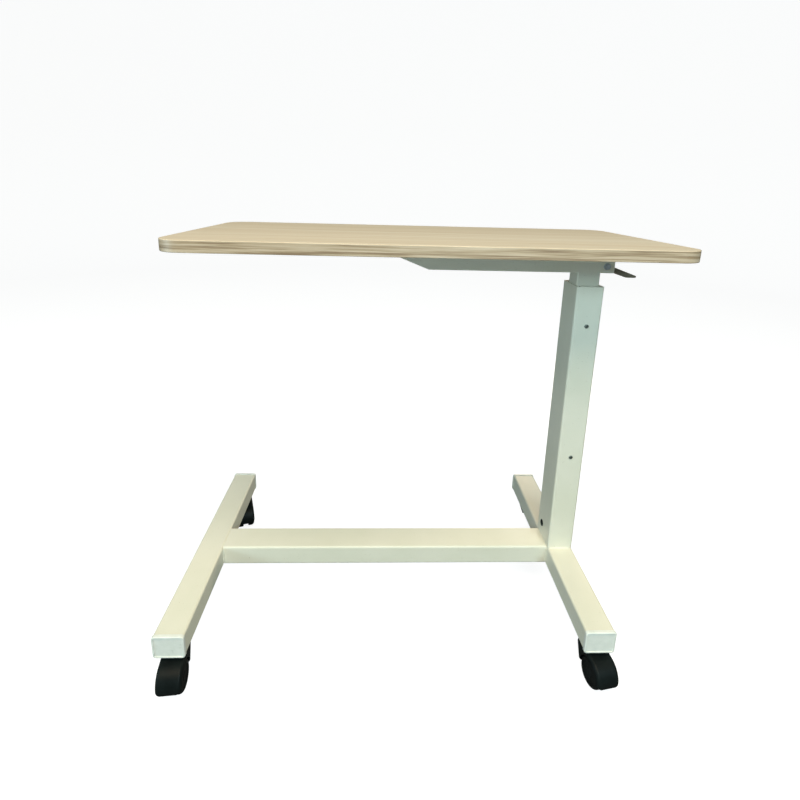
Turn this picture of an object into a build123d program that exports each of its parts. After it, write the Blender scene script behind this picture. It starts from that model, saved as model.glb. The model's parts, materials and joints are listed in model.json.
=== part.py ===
"""Overbed table: an H-shaped base on four swivel casters, a telescopic column with a lockable
gas spring, and a cantilevered wood-laminate top released by a lever.

Millimetres, +Z up, floor at Z = 0. X runs along the top, with the column on the +X side. The
origin is under the middle of the whole table, at its lowest setting.
"""
import os
from math import cos, radians, sin, tan

from build123d import *

# Overall
OVERALL_LENGTH = 835
TABLE_HEIGHT = 735

# Tabletop
TOP_LENGTH = 795
TOP_DEPTH = 400
TOP_THICKNESS = 18
TOP_CORNER = 38
LAMINATE = 0.8
BAND = 1.5
BAND_EDGE = 1.0

# Casters, with the stem axis measured from the middle of the foot
CASTER_HEIGHT = 65
WHEEL_R = 25
WHEEL_OUTER_FACE = 19.6
WHEEL_INNER_FACE = 6
WHEEL_EDGE = 6.4
CASTER_HALF_WIDTH = 20
TRAIL = 28
STEM_Y = 210
HOOD_R = 29.5
HOOD_WELL_R = 25.8
HOOD_EDGE = 5
HOOD_NOSE = 13
HOOD_NOSE_R = 8
HOOD_REAR_DROP = 5
HOOD_CORNER_R = 16
HOOD_TOP = CASTER_HEIGHT - 4.3
WEB_HALF = 5.5
WEB_R = 20
KINGPIN_R = 4
KINGPIN_BOTTOM = 38
AXLE_R = 3
AXLE_HALF = 17
RUNNING_FIT = 0.06
STEM_R = 4.95
STEM_TOP = 79
STEM_FLANGE = 4

# Base tubes
WALL = 2
TUBE_CORNER = 4
FOOT_WIDTH = 50
FOOT_HEIGHT = 40
FOOT_LENGTH = 480
CROSSBAR_DEPTH = 60
CAP_HEAD = 6
CAP_PROUD = 1
CAP_PLUG = 14
CAP_RIM = 3
CAP_RECESS = 1

# Column
COLUMN_WIDTH = 50
COLUMN_DEPTH = 70
COLUMN_HEIGHT = 545
INNER_WIDTH = 42
INNER_DEPTH = 40
INNER_LENGTH = 485
COLUMN_GAP = 25
GLIDE_GAP = 0.4
UPPER_GUIDE_HEIGHT = 40
RAIL_LENGTH = 300
RAIL_WIDTH = 20
RAIL_BELOW_TOP = 50
SCREWS_BELOW_TOP = (73, 338)
SCREW_R = 2.5
SCREW_HEAD_R = 3.8
SCREW_HEAD = 1.8
VENT_HOLE_R = 6
VENT_HOLE_Y = 10
VENT_HOLE_ABOVE_FOOT = 27
PLUG_HEAD = 1.4

# Gas spring, in the middle of the column
SPRING_R = 14
SPRING_BORE_R = 12.5
SPRING_LENGTH = 450
SPRING_PIN_ABOVE_FOOT = 27
SPRING_PIN_R = 4
ROD_R = 5
PISTON_R = 12.4
PISTON_HEIGHT = 12
PISTON_END_GAP = 0.5
STROKE = 320
FLOATING_PISTON_HEIGHT = 14
FLOATING_PISTON_GAP = 6
RELEASE_PIN_R = 2
RELEASE_PIN_LENGTH = 40
RELEASE_TRAVEL = 5

# Support beam and lever
BEAM_WIDTH = 66
BEAM_HEIGHT = 39
BEAM_WALL = 3
BEAM_CORNER = 4
BEAM_OVERHANG = 39
BEAM_TIP_X = -65.5
BEAM_TAPER_LENGTH = 91
BRACKET_LENGTH = 25
BRACKET_BEVEL = 0.5
CROSS_PLATE = 3
CROSS_PLATE_WIDTH = 40
CROSS_PLATE_LENGTH = 300
CROSS_PLATE_X = (32.5, 252.5)
BOARD_SCREW_Y = (45, 130)
BOARD_SCREW_R = 2.2
BOARD_SCREW_DEPTH = 12
PIVOT_INBOARD = 14
PIVOT_ABOVE_BEAM = 12
LEVER_DROOP = 19.6
LEVER_WIDTH = 28
LEVER_THICKNESS = 3
LEVER_INBOARD = 33
LEVER_OUTBOARD = 60
LEVER_BUSH_R = 5.5
LEVER_PIN_GAP = 0.15
BOLT_R = 3
GRIP_START = 13
GRIP_END = 70
GRIP_WIDTH = 34
GRIP_ABOVE = 3.8
GRIP_BELOW = 3.6
GRIP_BELLY = 6.2
GRIP_TAPER_START = 48
GRIP_TIP = 2.4
GRIP_EDGE = 1

# Rest swivel of each caster in degrees, from trailing towards -Y, positive towards +X
CASTERS = {
    "front_left": (-1, -1, 5),
    "front_right": (1, -1, 10),
    "back_left": (-1, 1, 20),
    "back_right": (1, 1, 75),
}


def caster_reach(swivel):
    """How far a caster's rounded hood reaches beyond its stem axis, along the foot."""
    turn = radians(abs(swivel))
    along = (TRAIL + HOOD_R - HOOD_EDGE) * cos(turn)
    across = (CASTER_HALF_WIDTH - HOOD_EDGE) * sin(turn)
    return along + across + HOOD_EDGE


# Levels
FOOT_BOTTOM = CASTER_HEIGHT
FOOT_TOP = FOOT_BOTTOM + FOOT_HEIGHT
FOOT_MIDDLE = FOOT_BOTTOM + FOOT_HEIGHT / 2
COLUMN_TOP = FOOT_TOP + COLUMN_HEIGHT
BEAM_BOTTOM = COLUMN_TOP + COLUMN_GAP
BEAM_TOP = BEAM_BOTTOM + BEAM_HEIGHT
BOARD_BOTTOM = TABLE_HEIGHT - TOP_THICKNESS
INNER_TOP = BEAM_BOTTOM
INNER_BOTTOM = INNER_TOP - INNER_LENGTH

# Places along X and Y
LEFT_X = -OVERALL_LENGTH / 2 + CAP_PROUD + FOOT_WIDTH / 2
RIGHT_X = 317.5
COLUMN_X = RIGHT_X
TOP_X = OVERALL_LENGTH / 2 - TOP_LENGTH / 2
FRONT_REACH = STEM_Y + max(caster_reach(swivel) for _, end, swivel in CASTERS.values() if end < 0)
BASE_Y = (FRONT_REACH - FOOT_LENGTH / 2) / 2
BEAM_END_X = COLUMN_X + BEAM_OVERHANG
BRACKET_X = BEAM_END_X - BRACKET_LENGTH
SPRING_AXIS = (COLUMN_X, BASE_Y)

os.makedirs("parts", exist_ok=True)


def save(builder, name):
    """Label a finished piece and write its STEP file."""
    builder.part.label = name
    export_step(builder.part, f"parts/{name}.step")


def facing(x, y, z, normal, across=(1, 0, 0)):
    """A plane at a point that faces along normal, with its own X along across."""
    return Plane(origin=(x, y, z), x_dir=across, z_dir=normal)


# --- Base ---------------------------------------------------------------------------------

TUBE_LENGTH = FOOT_LENGTH - 2 * CAP_HEAD


def foot(x):
    """A foot tube along Y, with a hole under each end for a caster stem."""
    with BuildPart() as tube:
        with BuildSketch(facing(x, BASE_Y - TUBE_LENGTH / 2, FOOT_MIDDLE, (0, 1, 0))):
            RectangleRounded(FOOT_WIDTH, FOOT_HEIGHT, TUBE_CORNER)
            RectangleRounded(
                FOOT_WIDTH - 2 * WALL, FOOT_HEIGHT - 2 * WALL, TUBE_CORNER - WALL, mode=Mode.SUBTRACT
            )
        extrude(amount=TUBE_LENGTH)
        with BuildSketch(Plane((x, BASE_Y, FOOT_BOTTOM - WALL / 2))):
            with Locations((0, -STEM_Y), (0, STEM_Y)):
                Circle(STEM_R + 0.35)
        extrude(amount=2 * WALL, mode=Mode.SUBTRACT)
    return tube


save(foot(LEFT_X), "left_foot")
save(foot(RIGHT_X), "right_foot")

CROSSBAR_START = LEFT_X + FOOT_WIDTH / 2
CROSSBAR_LENGTH = RIGHT_X - FOOT_WIDTH / 2 - CROSSBAR_START

with BuildPart() as crossbar:
    with BuildSketch(facing(CROSSBAR_START, BASE_Y, FOOT_MIDDLE, (1, 0, 0), (0, 1, 0))):
        RectangleRounded(CROSSBAR_DEPTH, FOOT_HEIGHT, TUBE_CORNER)
        RectangleRounded(
            CROSSBAR_DEPTH - 2 * WALL, FOOT_HEIGHT - 2 * WALL, TUBE_CORNER - WALL, mode=Mode.SUBTRACT
        )
    extrude(amount=CROSSBAR_LENGTH)
save(crossbar, "crossbar")


def end_cap(x, end):
    """A moulded cap with a rimmed face, pushed into the foot's front (-1) or back (+1) end."""
    seat = facing(x, BASE_Y + end * TUBE_LENGTH / 2, FOOT_MIDDLE, (0, end, 0))
    width = FOOT_WIDTH + 2 * CAP_PROUD
    height = FOOT_HEIGHT + 2 * CAP_PROUD
    plug_width = FOOT_WIDTH - 2 * WALL - 0.4
    plug_height = FOOT_HEIGHT - 2 * WALL - 0.4
    with BuildPart() as cap:
        with BuildSketch(seat):
            RectangleRounded(width, height, TUBE_CORNER + CAP_PROUD)
        extrude(amount=CAP_HEAD)
        fillet(cap.edges().group_by(Axis.Y)[-1 if end > 0 else 0], radius=1.6)
        with BuildSketch(seat.offset(CAP_HEAD)):
            RectangleRounded(width - 2 * CAP_RIM, height - 2 * CAP_RIM, TUBE_CORNER - 1)
        extrude(amount=-CAP_RECESS, mode=Mode.SUBTRACT)
        with BuildSketch(seat):
            RectangleRounded(plug_width, plug_height, TUBE_CORNER - WALL)
        extrude(amount=-CAP_PLUG)
        with BuildSketch(seat.offset(-CAP_PLUG)):
            RectangleRounded(plug_width - 5, plug_height - 5, 1)
            Rectangle(2, plug_height, mode=Mode.SUBTRACT)
        extrude(amount=CAP_PLUG - 2, mode=Mode.SUBTRACT)
    return cap


for side, end, _ in CASTERS.values():
    cap_x = RIGHT_X if side > 0 else LEFT_X
    cap_name = f"end_cap_{'right' if side > 0 else 'left'}_{'back' if end > 0 else 'front'}"
    save(end_cap(cap_x, end), cap_name)

STEM_POINTS = [
    (RIGHT_X if side > 0 else LEFT_X, BASE_Y + end * STEM_Y, 0) for side, end, _ in CASTERS.values()
]

with BuildPart() as caster_nuts:
    with BuildSketch(Plane.XY.offset(FOOT_BOTTOM + WALL)):
        with Locations(*STEM_POINTS):
            RegularPolygon(8.5, 6, major_radius=False)
            Circle(STEM_R + 0.05, mode=Mode.SUBTRACT)
    extrude(amount=8)
save(caster_nuts, "caster_nuts")

with BuildPart() as caster_stems:
    with BuildSketch(Plane.XY.offset(KINGPIN_BOTTOM)):
        with Locations(*STEM_POINTS):
            Circle(KINGPIN_R)
    extrude(amount=FOOT_BOTTOM - STEM_FLANGE - KINGPIN_BOTTOM)
    with BuildSketch(Plane.XY.offset(FOOT_BOTTOM - STEM_FLANGE)):
        with Locations(*STEM_POINTS):
            RegularPolygon(8.5, 6, major_radius=False)
    extrude(amount=STEM_FLANGE)
    with BuildSketch(Plane.XY.offset(FOOT_BOTTOM)):
        with Locations(*STEM_POINTS):
            Circle(STEM_R)
    extrude(amount=STEM_TOP - FOOT_BOTTOM)
    chamfer(caster_stems.edges().group_by(Axis.Z)[-1], length=1)
save(caster_stems, "caster_stems")

# --- Outer column and its guides ------------------------------------------------------------

SCREW_PLANES = [
    facing(COLUMN_X, BASE_Y + face * COLUMN_DEPTH / 2, COLUMN_TOP - below, (0, face, 0))
    for face in (-1, 1)
    for below in SCREWS_BELOW_TOP
]
VENT_X = COLUMN_X - COLUMN_WIDTH / 2
VENT_PLANE = facing(VENT_X, BASE_Y + VENT_HOLE_Y, FOOT_TOP + VENT_HOLE_ABOVE_FOOT, (-1, 0, 0), (0, 1, 0))
PIN_Z = FOOT_TOP + SPRING_PIN_ABOVE_FOOT

with BuildPart() as outer_column:
    with BuildSketch(Plane((COLUMN_X, BASE_Y, FOOT_TOP))):
        RectangleRounded(COLUMN_WIDTH, COLUMN_DEPTH, TUBE_CORNER)
        RectangleRounded(
            COLUMN_WIDTH - 2 * WALL, COLUMN_DEPTH - 2 * WALL, TUBE_CORNER - WALL, mode=Mode.SUBTRACT
        )
    extrude(amount=COLUMN_HEIGHT)
    for screw_plane in SCREW_PLANES:
        with BuildSketch(screw_plane.offset(1)):
            Circle(SCREW_R + 0.1)
        extrude(amount=-WALL - 2, mode=Mode.SUBTRACT)
    with BuildSketch(VENT_PLANE):
        Circle(VENT_HOLE_R)
    extrude(amount=-WALL - 1, mode=Mode.SUBTRACT)
save(outer_column, "outer_column")

with BuildPart() as vent_plug:
    with BuildSketch(VENT_PLANE):
        Circle(VENT_HOLE_R + 1)
    extrude(amount=PLUG_HEAD)
    fillet(vent_plug.edges().group_by(Axis.X)[0], radius=1)
    with BuildSketch(VENT_PLANE):
        Circle(VENT_HOLE_R)
    extrude(amount=-WALL - 1)
save(vent_plug, "vent_plug")

BORE_HALF_X = COLUMN_WIDTH / 2 - WALL
BORE_HALF_Y = COLUMN_DEPTH / 2 - WALL
PAD_X = BORE_HALF_X - INNER_WIDTH / 2 - GLIDE_GAP
PAD_Y = BORE_HALF_Y - INNER_DEPTH / 2 - GLIDE_GAP

with BuildPart() as upper_guides:
    with BuildSketch(Plane((COLUMN_X, BASE_Y, COLUMN_TOP - 1 - UPPER_GUIDE_HEIGHT))):
        RectangleRounded(2 * BORE_HALF_X, 2 * BORE_HALF_Y, TUBE_CORNER - WALL + 0.2)
        Rectangle(2 * (BORE_HALF_X - PAD_X), 2 * (BORE_HALF_Y - PAD_Y), mode=Mode.SUBTRACT)
        Rectangle(2 * BORE_HALF_X, 2 * (BORE_HALF_Y - 22), mode=Mode.SUBTRACT)
        Rectangle(2 * (BORE_HALF_X - 8), 2 * BORE_HALF_Y, mode=Mode.SUBTRACT)
    extrude(amount=UPPER_GUIDE_HEIGHT)
save(upper_guides, "upper_guides")


def guide_rail(face):
    """A nylon strip inside the column's front (-1) or back (+1) wall, with its two screw holes."""
    wall_face = BASE_Y + face * BORE_HALF_Y
    rail_top = COLUMN_TOP - RAIL_BELOW_TOP
    with BuildPart() as rail:
        with BuildSketch(facing(COLUMN_X, wall_face, rail_top - RAIL_LENGTH / 2, (0, -face, 0))):
            RectangleRounded(RAIL_WIDTH, RAIL_LENGTH, 2)
        extrude(amount=PAD_Y)
        for below in SCREWS_BELOW_TOP:
            with BuildSketch(facing(COLUMN_X, wall_face, COLUMN_TOP - below, (0, -face, 0))):
                Circle(SCREW_R)
            extrude(amount=PAD_Y, mode=Mode.SUBTRACT)
    return rail


save(guide_rail(-1), "guide_rail_front")
save(guide_rail(1), "guide_rail_back")

with BuildPart() as guide_screws:
    for screw_plane in SCREW_PLANES:
        with BuildSketch(screw_plane):
            Circle(SCREW_HEAD_R)
        extrude(amount=SCREW_HEAD)
        with BuildSketch(screw_plane):
            Circle(SCREW_R)
        extrude(amount=-WALL - PAD_Y + 0.4)
    fillet(guide_screws.edges().group_by(Axis.Y)[0] + guide_screws.edges().group_by(Axis.Y)[-1], 1.2)
    for screw_plane in SCREW_PLANES:
        with BuildSketch(screw_plane.offset(SCREW_HEAD)):
            RegularPolygon(1.5, 6, major_radius=False)
        extrude(amount=-1.4, mode=Mode.SUBTRACT)
save(guide_screws, "guide_screws")

# --- Gas spring, lower end and cylinder ---------------------------------------------------

EAR_INNER = 6.5
EAR_OUTER = 9.5
SADDLE_BASE = 4

with BuildPart() as gas_spring_saddle:
    with BuildSketch(Plane((*SPRING_AXIS, FOOT_TOP))):
        RectangleRounded(40, 30, 2)
    extrude(amount=SADDLE_BASE)
    for ear_x in (COLUMN_X - EAR_OUTER, COLUMN_X + EAR_INNER):
        with BuildSketch(facing(ear_x, SPRING_AXIS[1], PIN_Z, (1, 0, 0), (0, 1, 0))):
            Circle(10)
            with Locations((0, -(PIN_Z - FOOT_TOP) / 2)):
                Rectangle(20, PIN_Z - FOOT_TOP)
            Circle(SPRING_PIN_R + 0.05, mode=Mode.SUBTRACT)
        extrude(amount=EAR_OUTER - EAR_INNER)
save(gas_spring_saddle, "gas_spring_saddle")

with BuildPart() as gas_spring_pin:
    with BuildSketch(facing(COLUMN_X - 15, SPRING_AXIS[1], PIN_Z, (1, 0, 0), (0, 1, 0))):
        Circle(5.4)
    extrude(amount=2)
    with BuildSketch(facing(COLUMN_X - 13, SPRING_AXIS[1], PIN_Z, (1, 0, 0), (0, 1, 0))):
        Circle(SPRING_PIN_R)
    extrude(amount=27)
    chamfer(gas_spring_pin.edges().group_by(Axis.X)[-1], length=0.8)
save(gas_spring_pin, "gas_spring_pin")

with BuildPart() as gas_spring_pin_clip:
    with BuildSketch(facing(COLUMN_X + EAR_OUTER + 0.2, SPRING_AXIS[1], PIN_Z, (1, 0, 0), (0, 1, 0))):
        Circle(7)
        Circle(SPRING_PIN_R, mode=Mode.SUBTRACT)
        with Locations((0, -6)):
            Rectangle(5, 8, mode=Mode.SUBTRACT)
    extrude(amount=1)
save(gas_spring_pin_clip, "gas_spring_pin_clip")

CYLINDER_BOTTOM = PIN_Z + 18
CYLINDER_TOP = CYLINDER_BOTTOM + SPRING_LENGTH
GLAND_HEIGHT = 14
CYLINDER_FLOOR = 8

with BuildPart() as gas_spring_cylinder:
    with BuildSketch(Plane((*SPRING_AXIS, CYLINDER_BOTTOM))):
        Circle(SPRING_R)
    extrude(amount=SPRING_LENGTH)
    fillet(gas_spring_cylinder.edges().group_by(Axis.Z)[0], radius=3)
    with BuildSketch(Plane((*SPRING_AXIS, CYLINDER_BOTTOM + CYLINDER_FLOOR))):
        Circle(SPRING_BORE_R)
    extrude(amount=SPRING_LENGTH, mode=Mode.SUBTRACT)
    with BuildSketch(facing(COLUMN_X - 6, SPRING_AXIS[1], PIN_Z, (1, 0, 0), (0, 1, 0))):
        Circle(9)
        with Locations((0, 10)):
            Rectangle(14, 20)
        Circle(SPRING_PIN_R + 0.05, mode=Mode.SUBTRACT)
    extrude(amount=12)
save(gas_spring_cylinder, "gas_spring_cylinder")

with BuildPart() as gas_spring_gland:
    with BuildSketch(Plane((*SPRING_AXIS, CYLINDER_TOP - GLAND_HEIGHT))):
        Circle(SPRING_BORE_R)
        Circle(ROD_R + RUNNING_FIT, mode=Mode.SUBTRACT)
    extrude(amount=GLAND_HEIGHT)
save(gas_spring_gland, "gas_spring_gland")

# --- Inner column and gas spring rod --------------------------------------------------------

GLIDE_SIZE = 40
GLIDE_Z = INNER_BOTTOM + 6 + GLIDE_SIZE / 2
PEG_R = 4
HEAD_PLATE = 5
HEAD_PLATE_LENGTH = 44

with BuildPart() as inner_column:
    with BuildSketch(Plane((COLUMN_X, BASE_Y, INNER_BOTTOM))):
        RectangleRounded(INNER_WIDTH, INNER_DEPTH, TUBE_CORNER - 1)
        RectangleRounded(
            INNER_WIDTH - 2 * WALL, INNER_DEPTH - 2 * WALL, TUBE_CORNER - 1 - WALL, mode=Mode.SUBTRACT
        )
    extrude(amount=INNER_LENGTH)
    with BuildSketch(facing(COLUMN_X - INNER_WIDTH / 2 - 1, BASE_Y, GLIDE_Z, (1, 0, 0), (0, 1, 0))):
        Circle(PEG_R)
    extrude(amount=INNER_WIDTH + 2, mode=Mode.SUBTRACT)
save(inner_column, "inner_column")

with BuildPart() as lower_glides:
    for side in (-1, 1):
        face_x = COLUMN_X + side * INNER_WIDTH / 2
        with BuildSketch(facing(face_x, BASE_Y, GLIDE_Z, (side, 0, 0), (0, 1, 0))):
            RectangleRounded(GLIDE_SIZE, GLIDE_SIZE, 3)
        extrude(amount=PAD_X)
        with BuildSketch(facing(face_x, BASE_Y, GLIDE_Z, (side, 0, 0), (0, 1, 0))):
            Circle(PEG_R)
        extrude(amount=-WALL)
save(lower_glides, "lower_glides")

with BuildPart() as head_plate:
    with BuildSketch(Plane((COLUMN_X, BASE_Y, INNER_TOP))):
        Rectangle(HEAD_PLATE_LENGTH, BEAM_WIDTH - 2 * BEAM_WALL)
        Circle(ROD_R + 0.1, mode=Mode.SUBTRACT)
    extrude(amount=HEAD_PLATE)
save(head_plate, "head_plate")

ROD_TOP = INNER_TOP + 13
NUT_HEIGHT = 6
PISTON_BOTTOM = CYLINDER_TOP - GLAND_HEIGHT - PISTON_HEIGHT - STROKE - PISTON_END_GAP
PIVOT_X = BEAM_END_X - PIVOT_INBOARD
PIVOT_Z = BEAM_BOTTOM + PIVOT_ABOVE_BEAM
LEVER_OVER_SPRING = (PIVOT_X - COLUMN_X) * tan(radians(LEVER_DROOP))
LEVER_UNDERSIDE = PIVOT_Z + LEVER_OVER_SPRING - LEVER_THICKNESS / 2 / cos(radians(LEVER_DROOP))
RELEASE_PIN_TOP = LEVER_UNDERSIDE - RELEASE_PIN_R * tan(radians(LEVER_DROOP)) - LEVER_PIN_GAP
RELEASE_PIN_BOTTOM = RELEASE_PIN_TOP - RELEASE_PIN_LENGTH

with BuildPart() as gas_spring_rod:
    with BuildSketch(Plane((*SPRING_AXIS, PISTON_BOTTOM))):
        Circle(ROD_R - 1)
    extrude(amount=PISTON_HEIGHT)
    with BuildSketch(Plane((*SPRING_AXIS, PISTON_BOTTOM + PISTON_HEIGHT))):
        Circle(ROD_R)
    extrude(amount=ROD_TOP - PISTON_BOTTOM - PISTON_HEIGHT)
    chamfer(gas_spring_rod.edges().group_by(Axis.Z)[-1], length=0.8)
    with BuildSketch(Plane((*SPRING_AXIS, RELEASE_PIN_BOTTOM - RELEASE_TRAVEL))):
        Circle(RELEASE_PIN_R + RUNNING_FIT)
    extrude(amount=ROD_TOP - RELEASE_PIN_BOTTOM + RELEASE_TRAVEL, mode=Mode.SUBTRACT)
save(gas_spring_rod, "gas_spring_rod")

with BuildPart() as gas_spring_piston:
    with BuildSketch(Plane((*SPRING_AXIS, PISTON_BOTTOM))):
        Circle(PISTON_R)
        Circle(ROD_R - 1, mode=Mode.SUBTRACT)
    extrude(amount=PISTON_HEIGHT)
save(gas_spring_piston, "gas_spring_piston")

with BuildPart() as gas_spring_floating_piston:
    floating_bottom = PISTON_BOTTOM - FLOATING_PISTON_GAP - FLOATING_PISTON_HEIGHT
    with BuildSketch(Plane((*SPRING_AXIS, floating_bottom))):
        Circle(PISTON_R)
    extrude(amount=FLOATING_PISTON_HEIGHT)
save(gas_spring_floating_piston, "gas_spring_floating_piston")

with BuildPart() as release_pin:
    with BuildSketch(Plane((*SPRING_AXIS, RELEASE_PIN_BOTTOM))):
        Circle(RELEASE_PIN_R)
    extrude(amount=RELEASE_PIN_LENGTH)
    fillet(release_pin.edges().group_by(Axis.Z)[-1], radius=0.8)
save(release_pin, "release_pin")

with BuildPart() as rod_nuts:
    for nut_z in (INNER_TOP + HEAD_PLATE, INNER_TOP - NUT_HEIGHT):
        with BuildSketch(Plane((*SPRING_AXIS, nut_z))):
            RegularPolygon(8, 6, major_radius=False)
            Circle(ROD_R, mode=Mode.SUBTRACT)
        extrude(amount=NUT_HEIGHT)
save(rod_nuts, "rod_nuts")

# --- Support beam, lever bracket and cross plates -------------------------------------------


def channel(x, length):
    """A length of the beam's folded channel, open downwards, starting at x."""
    section_plane = facing(x, BASE_Y, BEAM_BOTTOM + BEAM_HEIGHT / 2, (1, 0, 0), (0, 1, 0))
    with BuildPart() as folded:
        with BuildSketch(section_plane) as section:
            Rectangle(BEAM_WIDTH, BEAM_HEIGHT)
            fillet(section.vertices().group_by(Axis.Y)[-1], radius=BEAM_CORNER)
            with Locations((0, -BEAM_WALL)):
                Rectangle(BEAM_WIDTH - 2 * BEAM_WALL, BEAM_HEIGHT, mode=Mode.SUBTRACT)
        extrude(amount=length)
    return folded


with BuildPart() as support_beam:
    add(channel(BEAM_TIP_X, BRACKET_X - BEAM_TIP_X).part)
    with BuildSketch(facing(BEAM_TIP_X, BASE_Y, BEAM_BOTTOM, (0, -1, 0))):
        with BuildLine():
            Polyline(
                (-1, -1),
                (BEAM_TAPER_LENGTH, -1),
                (BEAM_TAPER_LENGTH, 0),
                (0, BEAM_HEIGHT - BEAM_WALL),
                (-1, BEAM_HEIGHT - BEAM_WALL),
                close=True,
            )
        make_face()
    extrude(amount=BEAM_WIDTH, both=True, mode=Mode.SUBTRACT)
save(support_beam, "support_beam")

with BuildPart() as lever_bracket:
    add(channel(BRACKET_X, BRACKET_LENGTH).part)
    chamfer(lever_bracket.edges().group_by(Axis.X)[0], length=BRACKET_BEVEL)
    with BuildSketch(facing(PIVOT_X, BASE_Y, PIVOT_Z, (0, -1, 0))):
        Circle(BOLT_R + 0.1)
    extrude(amount=BEAM_WIDTH, both=True, mode=Mode.SUBTRACT)
save(lever_bracket, "lever_bracket")

SCREW_OFFSETS = [(0, side * y) for y in BOARD_SCREW_Y for side in (-1, 1)]
SCREW_POINTS = [(x, BASE_Y + dy, 0) for x in CROSS_PLATE_X for _, dy in SCREW_OFFSETS]


def cross_plate(x):
    """A flat bar welded across the beam, with four holes for the board screws."""
    with BuildPart() as plate:
        with BuildSketch(Plane((x, BASE_Y, BEAM_TOP))):
            RectangleRounded(CROSS_PLATE_WIDTH, CROSS_PLATE_LENGTH, 6)
            with Locations(*SCREW_OFFSETS):
                Circle(BOARD_SCREW_R + 0.4, mode=Mode.SUBTRACT)
        extrude(amount=CROSS_PLATE)
    return plate


save(cross_plate(CROSS_PLATE_X[0]), "cross_plate_left")
save(cross_plate(CROSS_PLATE_X[1]), "cross_plate_right")

# --- Lever ---------------------------------------------------------------------------------

DROOP = radians(LEVER_DROOP)
LEVER_DIRECTION = (cos(DROOP), 0, -sin(DROOP))
LEVER_NORMAL = (sin(DROOP), 0, cos(DROOP))
LEVER_PLANE = Plane(origin=(PIVOT_X, BASE_Y, PIVOT_Z), x_dir=LEVER_DIRECTION, z_dir=LEVER_NORMAL)
LEVER_SIDE = Plane(origin=(PIVOT_X, BASE_Y, PIVOT_Z), x_dir=LEVER_DIRECTION, z_dir=(0, -1, 0))
PIVOT_PLANE = facing(PIVOT_X, BASE_Y, PIVOT_Z, (0, -1, 0))

with BuildPart() as release_lever:
    with BuildSketch(LEVER_PLANE):
        with Locations(((LEVER_OUTBOARD - LEVER_INBOARD) / 2, 0)):
            RectangleRounded(LEVER_INBOARD + LEVER_OUTBOARD, LEVER_WIDTH, 5)
    extrude(amount=LEVER_THICKNESS / 2, both=True)
    with BuildSketch(PIVOT_PLANE):
        Circle(LEVER_BUSH_R)
    extrude(amount=LEVER_WIDTH / 2, both=True)
    with BuildSketch(PIVOT_PLANE):
        Circle(BOLT_R + RUNNING_FIT)
    extrude(amount=LEVER_WIDTH, both=True, mode=Mode.SUBTRACT)
save(release_lever, "release_lever")

with BuildPart() as lever_grip:
    with BuildSketch(LEVER_SIDE) as grip_profile:
        with BuildLine():
            Polyline(
                (GRIP_START, GRIP_ABOVE),
                (GRIP_END, GRIP_ABOVE),
                (GRIP_END, GRIP_ABOVE - GRIP_TIP),
                (GRIP_TAPER_START, -GRIP_BELLY),
                (GRIP_START, -GRIP_BELOW),
                close=True,
            )
        make_face()
        fillet(grip_profile.vertices().group_by(Axis.Y)[0], radius=24)
    extrude(amount=GRIP_WIDTH / 2, both=True)
    with BuildSketch(LEVER_PLANE) as grip_outline:
        with Locations(((GRIP_START + GRIP_END) / 2, 0)):
            Rectangle(GRIP_END - GRIP_START, GRIP_WIDTH)
        fillet(grip_outline.vertices().group_by(Axis.X)[-1], radius=9)
    extrude(amount=GRIP_WIDTH, both=True, mode=Mode.INTERSECT)
    fillet(lever_grip.faces().filter_by(LEVER_PLANE).edges(), radius=GRIP_EDGE)
    with BuildSketch(LEVER_PLANE):
        with Locations(((GRIP_START + LEVER_OUTBOARD) / 2 - 1, 0)):
            RectangleRounded(LEVER_OUTBOARD - GRIP_START + 2, LEVER_WIDTH, 5)
            Rectangle(LEVER_OUTBOARD - GRIP_START - 10, LEVER_WIDTH)
        with Locations((GRIP_START, 0)):
            Rectangle(16, LEVER_WIDTH)
    extrude(amount=LEVER_THICKNESS / 2, both=True, mode=Mode.SUBTRACT)
save(lever_grip, "lever_grip")

BOLT_HEAD = 4
WASHER = 1
BEAM_HALF = BEAM_WIDTH / 2
SPACER_GAP = 0.3

with BuildPart() as lever_bolt:
    with BuildSketch(PIVOT_PLANE.offset(BEAM_HALF + WASHER)):
        RegularPolygon(5, 6, major_radius=False)
    extrude(amount=BOLT_HEAD)
    chamfer(lever_bolt.edges().group_by(Axis.Y)[0], length=0.6)
    with BuildSketch(PIVOT_PLANE.offset(BEAM_HALF + WASHER)):
        Circle(BOLT_R)
    extrude(amount=-BEAM_WIDTH - 2 * WASHER - 7)
save(lever_bolt, "lever_bolt")

with BuildPart() as lever_nut:
    with BuildSketch(PIVOT_PLANE.offset(-BEAM_HALF - WASHER)):
        RegularPolygon(5, 6, major_radius=False)
        Circle(BOLT_R, mode=Mode.SUBTRACT)
    extrude(amount=-5)
save(lever_nut, "lever_nut")

with BuildPart() as lever_washers:
    for face in (BEAM_HALF, -BEAM_HALF - WASHER):
        with BuildSketch(PIVOT_PLANE.offset(face)):
            Circle(6)
            Circle(BOLT_R + 0.1, mode=Mode.SUBTRACT)
        extrude(amount=WASHER)
save(lever_washers, "lever_washers")

SPACER_LENGTH = BEAM_HALF - BEAM_WALL - LEVER_WIDTH / 2 - SPACER_GAP

with BuildPart() as lever_spacers:
    for start in (LEVER_WIDTH / 2 + SPACER_GAP, -LEVER_WIDTH / 2 - SPACER_GAP - SPACER_LENGTH):
        with BuildSketch(PIVOT_PLANE.offset(start)):
            Circle(LEVER_BUSH_R)
            Circle(BOLT_R + 0.1, mode=Mode.SUBTRACT)
        extrude(amount=SPACER_LENGTH)
save(lever_spacers, "lever_spacers")

# --- Tabletop ------------------------------------------------------------------------------

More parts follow.
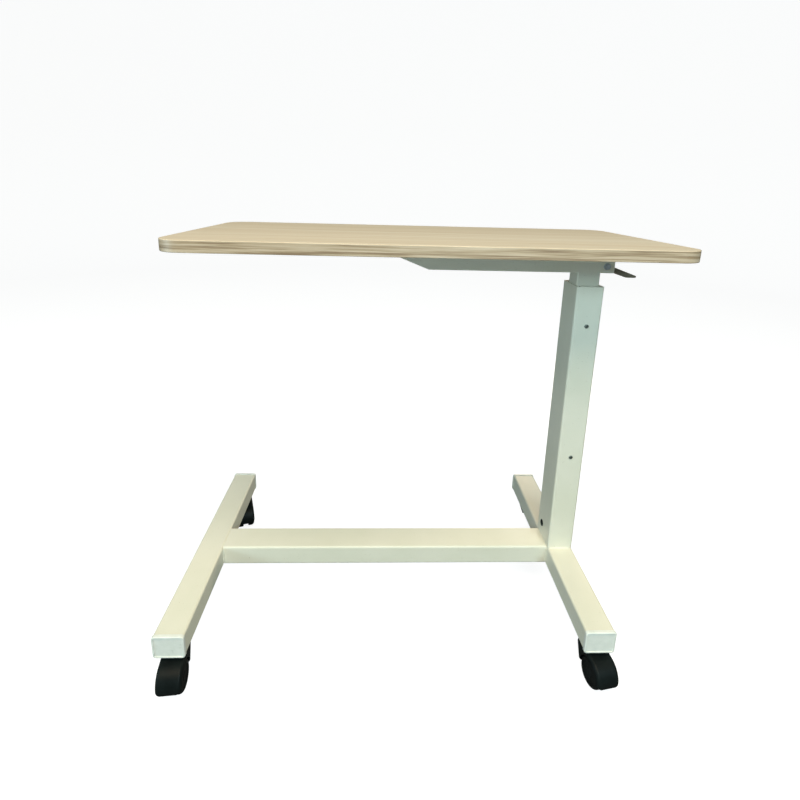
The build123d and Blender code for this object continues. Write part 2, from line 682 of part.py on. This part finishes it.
CORE_LENGTH = TOP_LENGTH - 2 * BAND
CORE_DEPTH = TOP_DEPTH - 2 * BAND
CORE_CORNER = TOP_CORNER - BAND
CORE_BOTTOM = BOARD_BOTTOM + LAMINATE


def board_layer(bottom, thickness):
    """One layer of the board inside its edge band."""
    with BuildPart() as layer:
        with BuildSketch(Plane((TOP_X, BASE_Y, bottom))):
            RectangleRounded(CORE_LENGTH, CORE_DEPTH, CORE_CORNER)
        extrude(amount=thickness)
    return layer


def drill_for_screws(layer, bottom, depth):
    """The layer with a pilot hole for each board screw."""
    with BuildPart() as drilled:
        add(layer.part)
        with BuildSketch(Plane.XY.offset(bottom)):
            with Locations(*SCREW_POINTS):
                Circle(BOARD_SCREW_R)
        extrude(amount=depth, mode=Mode.SUBTRACT)
    return drilled


core_blank = board_layer(CORE_BOTTOM, TOP_THICKNESS - 2 * LAMINATE)
save(drill_for_screws(core_blank, CORE_BOTTOM, BOARD_SCREW_DEPTH), "tabletop_core")
save(board_layer(TABLE_HEIGHT - LAMINATE, LAMINATE), "top_laminate")
backing_blank = board_layer(BOARD_BOTTOM, LAMINATE)
save(drill_for_screws(backing_blank, BOARD_BOTTOM, LAMINATE), "backing_laminate")

with BuildPart() as edge_band:
    with BuildSketch(Plane((TOP_X, BASE_Y, BOARD_BOTTOM))):
        RectangleRounded(TOP_LENGTH, TOP_DEPTH, TOP_CORNER)
    extrude(amount=TOP_THICKNESS)
    fillet(edge_band.faces().filter_by(Plane.XY).edges(), radius=BAND_EDGE)
    with BuildSketch(Plane((TOP_X, BASE_Y, BOARD_BOTTOM))):
        RectangleRounded(CORE_LENGTH, CORE_DEPTH, CORE_CORNER)
    extrude(amount=TOP_THICKNESS, mode=Mode.SUBTRACT)
save(edge_band, "edge_band")

with BuildPart() as board_screws:
    with BuildSketch(Plane.XY.offset(BEAM_TOP - 2.4)):
        with Locations(*SCREW_POINTS):
            Circle(4.4)
    extrude(amount=2.4)
    fillet(board_screws.edges().group_by(Axis.Z)[0], radius=1.6)
    with BuildSketch(Plane.XY.offset(BEAM_TOP)):
        with Locations(*SCREW_POINTS):
            Circle(BOARD_SCREW_R)
    extrude(amount=CROSS_PLATE + LAMINATE + BOARD_SCREW_DEPTH - 1)
save(board_screws, "board_screws")

# --- Casters -------------------------------------------------------------------------------


def caster_frame(side, end, swivel):
    """A caster's own frame: origin on the floor under its stem, +X along its axle."""
    turn = radians(swivel)
    stem = (RIGHT_X if side > 0 else LEFT_X, BASE_Y + end * STEM_Y, 0)
    return Plane(origin=stem, x_dir=(cos(turn), sin(turn), 0), z_dir=(0, 0, 1))


def axle_plane(frame, direction=1):
    """A plane through the axle's middle that faces along the axle, with its Y upwards."""
    axle_centre = frame.from_local_coords((0, -TRAIL, WHEEL_R))
    return Plane(origin=axle_centre, x_dir=direction * frame.y_dir, z_dir=direction * frame.x_dir)


def caster_hood(frame):
    """The moulded body: a dome over both wheels, the web between them and a nose for the kingpin."""
    side_plane = axle_plane(frame)
    nose_top = HOOD_TOP - WHEEL_R
    nose_front = TRAIL + HOOD_NOSE
    with BuildPart() as hood:
        with BuildSketch(side_plane):
            Circle(HOOD_R)
            with Locations((nose_front - HOOD_NOSE_R, nose_top - HOOD_NOSE_R)):
                Circle(HOOD_NOSE_R)
            make_hull()
            with BuildLine():
                Polyline(
                    (-2 * HOOD_R, -HOOD_REAR_DROP),
                    (HOOD_R / 2, -HOOD_REAR_DROP),
                    (2 * HOOD_R, HOOD_REAR_DROP),
                    (2 * HOOD_R, -2 * HOOD_R),
                    (-2 * HOOD_R, -2 * HOOD_R),
                    close=True,
                )
            make_face(mode=Mode.SUBTRACT)
        extrude(amount=CASTER_HALF_WIDTH, both=True)
        side_faces = hood.faces().filter_by(side_plane)
        fillet(side_faces.edges(), radius=HOOD_EDGE)
        rear_plane = Plane(
            origin=side_plane.from_local_coords((0, HOOD_R - HOOD_REAR_DROP)),
            x_dir=frame.x_dir,
            z_dir=frame.y_dir,
        )
        with BuildSketch(rear_plane):
            RectangleRounded(2 * CASTER_HALF_WIDTH + 4, 2 * HOOD_R + 3, HOOD_CORNER_R)
        extrude(amount=3 * HOOD_R, both=True, mode=Mode.INTERSECT)
        for direction in (-1, 1):
            with BuildSketch(axle_plane(frame, direction).offset(WEB_HALF)):
                Circle(HOOD_WELL_R)
            extrude(amount=CASTER_HALF_WIDTH, mode=Mode.SUBTRACT)
        with BuildSketch(side_plane):
            Circle(WEB_R)
        extrude(amount=WEB_HALF, both=True)
        with BuildSketch(frame.offset(KINGPIN_BOTTOM - 2)):
            Circle(KINGPIN_R + RUNNING_FIT)
        extrude(amount=HOOD_TOP, mode=Mode.SUBTRACT)
        with BuildSketch(side_plane):
            Circle(AXLE_R)
        extrude(amount=WHEEL_R, both=True, mode=Mode.SUBTRACT)
    return hood


def caster_axle(frame):
    """A plain steel pin through the hood's web."""
    with BuildPart() as axle:
        with BuildSketch(axle_plane(frame)):
            Circle(AXLE_R)
        extrude(amount=AXLE_HALF, both=True)
        chamfer(axle.edges().filter_by(GeomType.CIRCLE), length=0.5)
    return axle


def caster_wheel(frame, direction):
    """One wheel, on the side of the web that direction (-1 or +1) gives along the axle."""
    outwards = axle_plane(frame, direction)
    profile_plane = Plane(origin=outwards.origin, x_dir=outwards.z_dir, z_dir=-outwards.x_dir)
    bore_r = AXLE_R + RUNNING_FIT
    bore_end = WHEEL_OUTER_FACE - 2.1
    dish = WHEEL_OUTER_FACE - 1.5
    with BuildPart() as wheel:
        with BuildSketch(profile_plane):
            with BuildLine():
                Polyline(
                    (WHEEL_INNER_FACE, bore_r),
                    (WHEEL_INNER_FACE, 7),
                    (dish - 2.5, 7),
                    (dish - 2.5, 16),
                    (dish - 6, 18.5),
                    (WHEEL_INNER_FACE, 20),
                    (WHEEL_INNER_FACE, WHEEL_R),
                    (WHEEL_OUTER_FACE, WHEEL_R),
                    (WHEEL_OUTER_FACE, 18.2),
                    (dish, 17),
                    (dish, 8),
                    (dish + 1, 6.5),
                    (dish + 1.2, 0),
                    (bore_end, 0),
                    (bore_end, bore_r),
                    close=True,
                )
            make_face()
        revolve(axis=Axis(outwards.origin, outwards.z_dir))
        tread_edges = wheel.edges().filter_by(lambda edge: edge.length > 2 * WHEEL_R * 3.1)
        outer_centre = outwards.offset(WHEEL_OUTER_FACE).origin
        fillet(tread_edges.sort_by_distance(outer_centre)[0], radius=WHEEL_EDGE)
    return wheel


for name, (side, end, swivel) in CASTERS.items():
    frame = caster_frame(side, end, swivel)
    save(caster_hood(frame), f"caster_hood_{name}")
    save(caster_axle(frame), f"caster_axle_{name}")
    save(caster_wheel(frame, -1), f"wheel_{name}_1")
    save(caster_wheel(frame, 1), f"wheel_{name}_2")
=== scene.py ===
"""Looks of the overbed table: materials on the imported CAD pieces, weld beads, studio light and
the camera. Metres, in the CAD model's own frame."""

import json
import math
import random

import bmesh
import bpy
from mathutils import Matrix, Vector


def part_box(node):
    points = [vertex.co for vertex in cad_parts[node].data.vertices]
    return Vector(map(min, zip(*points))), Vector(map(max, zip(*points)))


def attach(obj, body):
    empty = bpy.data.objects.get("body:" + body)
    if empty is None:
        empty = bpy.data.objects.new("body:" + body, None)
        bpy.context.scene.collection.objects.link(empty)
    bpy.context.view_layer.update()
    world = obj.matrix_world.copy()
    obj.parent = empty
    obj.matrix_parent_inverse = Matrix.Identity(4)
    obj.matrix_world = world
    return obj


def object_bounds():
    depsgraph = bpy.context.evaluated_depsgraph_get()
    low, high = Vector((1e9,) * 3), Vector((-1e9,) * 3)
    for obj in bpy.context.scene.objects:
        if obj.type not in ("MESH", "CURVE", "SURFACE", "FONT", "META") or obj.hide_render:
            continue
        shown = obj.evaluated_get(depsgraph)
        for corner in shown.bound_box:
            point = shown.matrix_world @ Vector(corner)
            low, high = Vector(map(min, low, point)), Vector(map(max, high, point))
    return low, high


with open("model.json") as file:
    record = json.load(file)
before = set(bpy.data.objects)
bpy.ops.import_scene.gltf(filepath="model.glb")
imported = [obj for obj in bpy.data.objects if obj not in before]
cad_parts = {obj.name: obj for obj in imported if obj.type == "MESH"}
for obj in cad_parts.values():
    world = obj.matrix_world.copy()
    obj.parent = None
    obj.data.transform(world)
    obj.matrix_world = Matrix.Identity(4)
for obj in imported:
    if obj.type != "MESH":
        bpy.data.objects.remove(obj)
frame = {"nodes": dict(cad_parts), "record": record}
CAD_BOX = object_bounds()
NODES = frame["nodes"]


# --- Materials ------------------------------------------------------------------------------


def srgb(red, green, blue):
    """A linear colour from 8-bit sRGB values."""
    channels = []
    for value in (red, green, blue):
        share = value / 255
        channels.append(share / 12.92 if share <= 0.04045 else ((share + 0.055) / 1.055) ** 2.4)
    return (*channels, 1)


class Finish:
    """A node material, built up around one Principled shader."""

    def __init__(self, name, **settings):
        self.material = bpy.data.materials.new(name)
        self.material.use_nodes = True
        self.tree = self.material.node_tree
        self.shader = self.tree.nodes["Principled BSDF"]
        for key, value in settings.items():
            self.shader.inputs[key.replace("_", " ")].default_value = value
        self.place = self.add("ShaderNodeTexCoord").outputs["Object"]

    def add(self, kind, inputs=None, **properties):
        node = self.tree.nodes.new(kind)
        for key, value in properties.items():
            setattr(node, key, value)
        for key, value in (inputs or {}).items():
            if isinstance(value, bpy.types.NodeSocket):
                self.tree.links.new(value, node.inputs[key])
            else:
                node.inputs[key].default_value = value
        return node

    def stretched(self, along, across, up):
        """The object's coordinates, scaled differently each way."""
        mapping = self.add("ShaderNodeMapping", {"Vector": self.place})
        mapping.inputs["Scale"].default_value = (along, across, up)
        return mapping.outputs[0]

    def noise(self, vector, scale=1.0, detail=3.0, roughness=0.55, distortion=0.0):
        node = self.add(
            "ShaderNodeTexNoise",
            {
                "Vector": vector,
                "Scale": scale,
                "Detail": detail,
                "Roughness": roughness,
                "Distortion": distortion,
            },
        )
        return node.outputs["Fac"]

    def ramp(self, value, *stops):
        """Colours by value: each stop is (position, colour)."""
        node = self.add("ShaderNodeValToRGB", {"Fac": value})
        elements = node.color_ramp.elements
        while len(elements) < len(stops):
            elements.new(0.5)
        for element, (position, colour) in zip(elements, stops):
            element.position = position
            element.color = colour
        return node.outputs["Color"]

    def span(self, value, low, high, to_low=0.0, to_high=1.0):
        """The value's range from low to high, spread over to_low to to_high."""
        node = self.add(
            "ShaderNodeMapRange",
            {"Value": value, "From Min": low, "From Max": high, "To Min": to_low, "To Max": to_high},
        )
        return node.outputs["Result"]

    def mix(self, factor, first, second, blend="MIX"):
        node = self.add("ShaderNodeMix", data_type="RGBA", blend_type=blend)
        for socket, value in ((node.inputs[0], factor), (node.inputs[6], first), (node.inputs[7], second)):
            if isinstance(value, bpy.types.NodeSocket):
                self.tree.links.new(value, socket)
            else:
                socket.default_value = value
        return node.outputs[2]

    def colour(self, socket):
        self.tree.links.new(socket, self.shader.inputs["Base Color"])

    def roughness(self, socket):
        self.tree.links.new(socket, self.shader.inputs["Roughness"])

    def bump(self, *layers):
        """Each layer is (height, strength, depth in metres); the layers add up."""
        normal = None
        for height, strength, depth in layers:
            node = self.add("ShaderNodeBump", {"Height": height, "Strength": strength, "Distance": depth})
            if normal is not None:
                self.tree.links.new(normal, node.inputs["Normal"])
            normal = node.outputs["Normal"]
        self.tree.links.new(normal, self.shader.inputs["Normal"])


def powder_coat():
    """Ivory satin powder coat: a fine orange peel, slight clouding and a few specks of dust."""
    finish = Finish("powder_coat", Specular_IOR_Level=0.45)
    clouds = finish.noise(finish.place, 7.0, 3.0)
    tint = finish.ramp(clouds, (0.35, srgb(226, 223, 205)), (0.65, srgb(233, 229, 213)))
    specks = finish.noise(finish.place, 420.0, 1.0)
    speckle = finish.span(specks, 0.74, 0.80)
    finish.colour(finish.mix(speckle, tint, srgb(196, 190, 170)))
    finish.roughness(finish.span(finish.noise(finish.place, 60.0), 0.3, 0.7, 0.34, 0.46))
    peel = finish.noise(finish.place, 620.0, 2.0)
    finish.bump((peel, 0.22, 0.00025))
    return finish.material


def cap_plastic():
    """Smooth moulded ivory plastic, handled and slightly rubbed."""
    finish = Finish("cap_plastic", Specular_IOR_Level=0.5)
    rubbed = finish.noise(finish.place, 90.0, 4.0)
    finish.colour(finish.ramp(rubbed, (0.35, srgb(226, 228, 220)), (0.7, srgb(236, 237, 230))))
    finish.roughness(finish.span(rubbed, 0.3, 0.7, 0.26, 0.4))
    finish.bump((finish.noise(finish.place, 1500.0, 2.0), 0.1, 0.0001))
    return finish.material


def oak_laminate():
    """Pale oak print under a satin wear layer: long grain, broad bands and short pores along X."""
    finish = Finish("oak_laminate", Specular_IOR_Level=0.5)
    bend = finish.noise(finish.stretched(2.2, 5.0, 1.0), 1.0, 2.0)
    bent = finish.add("ShaderNodeVectorMath", {0: finish.place, 1: (0, 0, 0)}, operation="ADD")
    shift = finish.add("ShaderNodeCombineXYZ", {"Y": finish.span(bend, 0, 1, -0.02, 0.02)})
    finish.tree.links.new(shift.outputs[0], bent.inputs[1])
    grain_space = finish.add("ShaderNodeMapping", {"Vector": bent.outputs[0]})
    grain_space.inputs["Scale"].default_value = (1.6, 60.0, 1.0)
    grain = finish.noise(grain_space.outputs[0], 1.0, 6.0, 0.62)
    wood = finish.ramp(
        grain,
        (0.30, srgb(211, 194, 170)),
        (0.45, srgb(226, 213, 193)),
        (0.58, srgb(234, 224, 207)),
        (0.74, srgb(240, 232, 217)),
    )
    bands = finish.noise(finish.stretched(0.9, 9.0, 1.0), 1.0, 2.0)
    wood = finish.mix(finish.span(bands, 0.35, 0.7, 0.0, 0.35), wood, srgb(219, 204, 180))
    pore_space = finish.add("ShaderNodeMapping", {"Vector": bent.outputs[0]})
    pore_space.inputs["Scale"].default_value = (38.0, 950.0, 1.0)
    pores = finish.span(finish.noise(pore_space.outputs[0], 1.0, 2.0), 0.62, 0.74)
    finish.colour(finish.mix(finish.span(pores, 0, 1, 0, 0.45), wood, srgb(190, 170, 142)))
    finish.roughness(finish.span(grain, 0.3, 0.7, 0.42, 0.34))
    finish.bump((pores, 0.25, -0.0001), (finish.noise(finish.place, 1200.0, 2.0), 0.08, 0.0001))
    return finish.material


def edge_band():
    """Wood-grain edge banding: a few wavy streaks that run along the edge, with a painted highlight along
    its rounded top.
    """
    finish = Finish("edge_band", Specular_IOR_Level=0.45)
    top = CAD_BOX[1][2]
    streaks = finish.noise(finish.stretched(9.0, 9.0, 380.0), 1.0, 3.0, 0.5, 0.35)
    fine = finish.noise(finish.stretched(16.0, 16.0, 1100.0), 1.0, 2.0)
    wood = finish.ramp(
        streaks,
        (0.36, srgb(136, 114, 90)),
        (0.46, srgb(166, 145, 119)),
        (0.55, srgb(187, 167, 142)),
        (0.68, srgb(204, 186, 163)),
    )
    wood = finish.mix(finish.span(fine, 0.4, 0.7, 0.0, 0.3), wood, srgb(150, 128, 102))
    height = finish.add("ShaderNodeSeparateXYZ", {"Vector": finish.place}).outputs["Z"]
    # Painted highlight: over its top two millimetres the band is mixed towards a pale colour, standing in
    # for light on the rounded top edge.
    top_highlight_mask = finish.span(height, top - 0.0022, top - 0.0006)
    finish.colour(finish.mix(finish.span(top_highlight_mask, 0, 1, 0, 0.75), wood, srgb(222, 204, 178)))
    finish.roughness(finish.span(streaks, 0.3, 0.7, 0.5, 0.4))
    finish.bump((streaks, 0.3, 0.0002), (fine, 0.2, 0.0001))
    return finish.material


def backing_laminate():
    finish = Finish("backing_laminate", Specular_IOR_Level=0.4)
    clouds = finish.noise(finish.place, 14.0, 4.0)
    finish.colour(finish.ramp(clouds, (0.35, srgb(214, 211, 201)), (0.7, srgb(224, 221, 212))))
    finish.roughness(finish.span(clouds, 0.3, 0.7, 0.5, 0.6))
    finish.bump((finish.noise(finish.place, 900.0, 3.0), 0.3, 0.0002))
    return finish.material


def particle_board():
    finish = Finish("particle_board", Specular_IOR_Level=0.2)
    chips = finish.noise(finish.place, 260.0, 6.0, 0.7)
    finish.colour(finish.ramp(chips, (0.35, srgb(150, 118, 78)), (0.65, srgb(196, 164, 118))))
    finish.roughness(finish.span(chips, 0.3, 0.7, 0.8, 0.95))
    finish.bump((chips, 0.6, 0.0005))
    return finish.material


def metal(name, dark, light, low, high, scratches=900.0):
    """Plated or turned metal with fine scratches and uneven brightness."""
    finish = Finish(name, Metallic=1.0)
    marks = finish.noise(finish.stretched(scratches, scratches, scratches / 8), 1.0, 3.0)
    clouds = finish.noise(finish.place, 160.0, 3.0)
    finish.colour(finish.ramp(clouds, (0.3, dark), (0.7, light)))
    finish.roughness(finish.span(marks, 0.3, 0.7, low, high))
    finish.bump((marks, 0.12, 0.0001))
    return finish.material


def moulded(name, dark, light, low, high, grain=1400.0, relief=0.2, gloss=0.5):
    """Moulded plastic or paint with a fine even grain."""
    finish = Finish(name, Specular_IOR_Level=gloss)
    clouds = finish.noise(finish.place, 40.0, 4.0)
    finish.colour(finish.ramp(clouds, (0.35, dark), (0.7, light)))
    finish.roughness(finish.span(clouds, 0.3, 0.7, low, high))
    finish.bump((finish.noise(finish.place, grain, 2.0), relief, 0.0002))
    return finish.material


MATERIALS = {
    "frame_paint": powder_coat(),
    "cap_plastic": cap_plastic(),
    "zinc": metal("zinc", srgb(176, 182, 188), srgb(212, 216, 220), 0.3, 0.44),
    "nylon_white": moulded("nylon_white", srgb(212, 210, 198), srgb(226, 224, 214), 0.4, 0.52),
    "spring_black": moulded("spring_black", srgb(14, 14, 15), srgb(22, 22, 23), 0.25, 0.35),
    "spring_alloy": metal("spring_alloy", srgb(170, 172, 175), srgb(200, 201, 203), 0.25, 0.4),
    "rod_chrome": metal("rod_chrome", srgb(196, 198, 202), srgb(214, 216, 220), 0.08, 0.16),
    "lever_steel": moulded("lever_steel", srgb(92, 84, 70), srgb(108, 100, 85), 0.32, 0.44),
    "grip_plastic": moulded("grip_plastic", srgb(98, 89, 73), srgb(118, 108, 90), 0.35, 0.45),
    "board_core": particle_board(),
    "top_laminate": oak_laminate(),
    "backing": backing_laminate(),
    "edge_band": edge_band(),
    "caster_black": moulded("caster_black", srgb(9, 15, 15), srgb(17, 24, 24), 0.44, 0.54, gloss=0.13),
    "axle_steel": metal("axle_steel", srgb(140, 142, 145), srgb(176, 178, 180), 0.3, 0.45),
    "wheel_black": moulded("wheel_black", srgb(9, 13, 13), srgb(18, 22, 22), 0.5, 0.62, gloss=0.13),
}

# The guide screws get a darker copy of the zinc: the same roughness, only a lower colour.
DARKER_ZINC = {
    "guide_screws": metal("darker_zinc", srgb(112, 118, 112), srgb(140, 146, 140), 0.3, 0.44),
}
for entry in frame["record"]["subparts"]:
    node = NODES[entry["node"]]
    node.data.materials.clear()
    node.data.materials.append(DARKER_ZINC.get(entry["node"], MATERIALS[entry["material_slot"]]))


# --- Weld beads ------------------------------------------------------------------------------

FOOT_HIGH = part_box("right_foot")[1]
COLUMN_LOW, COLUMN_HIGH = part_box("outer_column")
BAR_LOW, BAR_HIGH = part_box("crossbar")
INNER_LOW, INNER_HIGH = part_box("inner_column")
BEAM_LOW, BEAM_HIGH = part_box("support_beam")
# Where beads stop short of a rounded corner, and how far they are set into a surface.
CORNER = 0.004
SUNK = 0.0008
PLATE_MARGIN = 0.003
GROOVE_INSET = 0.0012
GROOVE_DEPTH = 0.0036
# Bead radii.
GROOVE_BEAD = 0.0015
NARROW_BEAD = 0.0018
SIDE_BEAD = 0.0020
FACE_BEAD = 0.0021
WIDE_BEAD = 0.0022
# The mesh of a bead.
BEAD_SIDES = 10
FEWEST_RINGS = 8
RING_SPACING = 0.0006
RIPPLE_LENGTH = 0.0024
ripple = random.Random(7)


def weld(name, start, end, radius, body):
    """A painted weld bead from start to end: overlapping ripples along an uneven ridge."""
    start, end = Vector(start), Vector(end)
    run = end - start
    along = run.normalized()
    side = along.orthogonal().normalized()
    up = along.cross(side)
    shape = bmesh.new()
    steps = max(FEWEST_RINGS, int(run.length / RING_SPACING))
    rings = []
    drift = 0.0
    for k in range(steps + 1):
        share = k / steps
        drift = 0.8 * drift + ripple.uniform(-0.035, 0.035)
        swell = 1 + 0.13 * abs(math.sin(share * run.length / RIPPLE_LENGTH * math.pi)) + drift
        close_off = min(1.0, 8 * min(share, 1 - share) + 0.35)
        size = radius * swell * close_off
        centre = start + run * share
        turns = (j * math.tau / BEAD_SIDES for j in range(BEAD_SIDES))
        rings.append(
            [shape.verts.new(centre + size * (math.cos(a) * side + math.sin(a) * up)) for a in turns]
        )
    for first, second in zip(rings, rings[1:]):
        for j in range(BEAD_SIDES):
            after = (j + 1) % BEAD_SIDES
            shape.faces.new((first[j], first[after], second[after], second[j]))
    shape.faces.new(tuple(reversed(rings[0])))
    shape.faces.new(tuple(rings[-1]))
    bmesh.ops.recalc_face_normals(shape, faces=shape.faces)
    for face in shape.faces:
        face.smooth = True
    mesh = bpy.data.meshes.new(name)
    shape.to_mesh(mesh)
    shape.free()
    mesh.materials.append(MATERIALS["frame_paint"])
    bead = bpy.data.objects.new(name, mesh)
    bpy.context.scene.collection.objects.link(bead)
    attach(bead, body)


def column_welds():
    """Beads round the column's foot."""
    for tag, face_y in (("front", COLUMN_LOW.y), ("back", COLUMN_HIGH.y)):
        weld(
            f"weld_column_{tag}",
            (COLUMN_LOW.x + CORNER, face_y, FOOT_HIGH.z),
            (COLUMN_HIGH.x - CORNER, face_y, FOOT_HIGH.z),
            WIDE_BEAD,
            "base",
        )
    bead_z = FOOT_HIGH.z - SUNK
    for tag, bead_x in (("left", COLUMN_LOW.x + 2 * SUNK), ("right", COLUMN_HIGH.x - 2 * SUNK)):
        weld(
            f"weld_column_{tag}",
            (bead_x, COLUMN_LOW.y + CORNER, bead_z),
            (bead_x, COLUMN_HIGH.y - CORNER, bead_z),
            SIDE_BEAD,
            "base",
        )


def bar_welds():
    """Beads round each end of the crossbar, sunk into the groove above and below it."""
    for tag, end_x, outwards in (("left", BAR_LOW.x, -1), ("right", BAR_HIGH.x, 1)):
        groove_x = end_x + outwards * GROOVE_INSET
        for part, z in (("top", BAR_HIGH.z - GROOVE_DEPTH), ("under", BAR_LOW.z + GROOVE_DEPTH)):
            weld(
                f"weld_bar_{tag}_{part}",
                (groove_x, BAR_LOW.y + CORNER, z),
                (groove_x, BAR_HIGH.y - CORNER, z),
                GROOVE_BEAD,
                "base",
            )
        for part, y in (("front", BAR_LOW.y), ("back", BAR_HIGH.y)):
            weld(
                f"weld_bar_{tag}_{part}",
                (end_x, y, BAR_LOW.z + CORNER),
                (end_x, y, BAR_HIGH.z - CORNER),
                FACE_BEAD,
                "base",
            )


def plate_welds():
    """Beads where the cross plates lie on the beam."""
    for tag in ("left", "right"):
        plate_low, plate_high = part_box(f"cross_plate_{tag}")
        for part, y in (("front", BEAM_LOW.y), ("back", BEAM_HIGH.y)):
            weld(
                f"weld_plate_{tag}_{part}",
                (plate_low.x + PLATE_MARGIN, y, BEAM_HIGH.z - SUNK),
                (plate_high.x - PLATE_MARGIN, y, BEAM_HIGH.z - SUNK),
                NARROW_BEAD,
                "top",
            )


def head_welds():
    """Beads round the inner column's top, against the beam."""
    for part, y in (("front", INNER_LOW.y), ("back", INNER_HIGH.y)):
        weld(
            f"weld_head_{part}",
            (INNER_LOW.x + CORNER, y, INNER_HIGH.z),
            (INNER_HIGH.x - CORNER, y, INNER_HIGH.z),
            NARROW_BEAD,
            "top",
        )
    for part, x in (("left", INNER_LOW.x), ("right", INNER_HIGH.x)):
        weld(
            f"weld_head_{part}",
            (x, INNER_LOW.y + CORNER, INNER_HIGH.z),
            (x, INNER_HIGH.y - CORNER, INNER_HIGH.z),
            NARROW_BEAD,
            "top",
        )


column_welds()
bar_welds()
plate_welds()
head_welds()


# --- Stage, light and camera -----------------------------------------------------------------


# What the floor sends back to the table, and how brightly the camera sees it.
FLOOR_BOUNCE = 0.17
FLOOR_GLOW = 0.9
# The camera's place in metres and its angles in radians.
CAMERA_PLACE = (-0.0600, -0.8882, 0.8091)
CAMERA_YAW, CAMERA_PITCH, CAMERA_ROLL = 0.0426, 0.2485, 0.0265


def floor_bowl():
    """A round floor that curves up into a backdrop on every side."""
    flat_radius, bend, wall_top, sides = 4.6, 1.6, 4.2, 64
    profile = [(0.8 * k, 0.0) for k in range(1, 6)] + [(flat_radius, 0.0)]
    for k in range(1, 13):
        turn = k * math.pi / 24
        profile.append((flat_radius + bend * math.sin(turn), bend - bend * math.cos(turn)))
    profile.append((flat_radius + bend, wall_top))
    shape = bmesh.new()
    centre = shape.verts.new((0, 0, 0))
    rings = []
    for radius, height in profile:
        turns = [j * math.tau / sides for j in range(sides)]
        rings.append([shape.verts.new((radius * math.cos(a), radius * math.sin(a), height)) for a in turns])
    for j in range(sides):
        shape.faces.new((centre, rings[0][j], rings[0][(j + 1) % sides]))
        for inner, outer in zip(rings, rings[1:]):
            shape.faces.new((inner[j], outer[j], outer[(j + 1) % sides], inner[(j + 1) % sides]))
    for face in shape.faces:
        face.smooth = True
    mesh = bpy.data.meshes.new("floor")
    shape.to_mesh(mesh)
    shape.free()
    floor = bpy.data.objects.new("floor", mesh)
    bpy.context.scene.collection.objects.link(floor)
    finish = Finish("floor", Specular_IOR_Level=0.0, Roughness=1.0)
    seen = finish.add("ShaderNodeLightPath").outputs["Is Camera Ray"]
    clouds = finish.noise(finish.place, 1.5, 2.0)
    pale = finish.ramp(clouds, (0.3, (0.30, 0.30, 0.30, 1)), (0.7, (0.31, 0.31, 0.31, 1)))
    finish.colour(finish.mix(seen, (FLOOR_BOUNCE, FLOOR_BOUNCE, FLOOR_BOUNCE, 1), pale))
    finish.shader.inputs["Emission Color"].default_value = (1, 1, 1, 1)
    glow = finish.span(seen, 0, 1, 0.0, FLOOR_GLOW)
    finish.tree.links.new(glow, finish.shader.inputs["Emission Strength"])
    mesh.materials.append(finish.material)


floor_bowl()


def area_light(name, place, target, size, power, colour):
    """A soft rectangular light at place, turned towards target."""
    data = bpy.data.lights.new(name, "AREA")
    data.shape = "RECTANGLE"
    data.size, data.size_y = size
    data.energy = power
    data.color = colour
    light = bpy.data.objects.new(name, data)
    light.location = place
    light.rotation_euler = (Vector(target) - Vector(place)).to_track_quat("-Z", "Y").to_euler()
    bpy.context.scene.collection.objects.link(light)


area_light("key_top", (-0.1, -1.4, 3.0), (0, 0, 0.3), (2.0, 1.5), 84, (1.0, 0.86, 0.62))
area_light("fill_front", (0.8, -2.2, 1.48), (0.1, 0, 0.4), (1.3, 0.6), 31, (0.68, 0.93, 1.0))
area_light("fill_low", (0.2, -2.4, 0.6), (0.2, 0, 0.68), (1.2, 0.2), 4.5, (0.68, 0.93, 1.0))
area_light("fill_left", (-2.4, -1.0, 0.85), (0.3, 0, 0.7), (1.0, 0.6), 29, (0.66, 0.9, 1.0))
area_light("fill_back", (0.6, 1.5, 0.64), (0.33, 0.2, 0.1), (0.5, 0.2), 9, (1.0, 0.84, 0.62))

world = bpy.data.worlds.new("studio")
world.use_nodes = True
world.node_tree.nodes["Background"].inputs["Color"].default_value = (0.64, 0.88, 1.0, 1)
world.node_tree.nodes["Background"].inputs["Strength"].default_value = 0.23
bpy.context.scene.world = world
bpy.context.scene.view_settings.view_transform = "Standard"

camera_data = bpy.data.cameras.new("camera")
camera_data.sensor_width = 36
camera_data.lens = 22.54
camera_data.shift_y = -0.1035
camera = bpy.data.objects.new("camera", camera_data)
camera.matrix_world = (
    Matrix.Translation(CAMERA_PLACE)
    @ Matrix.Rotation(-CAMERA_YAW, 4, "Z")
    @ Matrix.Rotation(math.pi / 2 - CAMERA_PITCH, 4, "X")
    @ Matrix.Rotation(CAMERA_ROLL, 4, "Z")
)
bpy.context.scene.collection.objects.link(camera)
bpy.context.scene.camera = camera
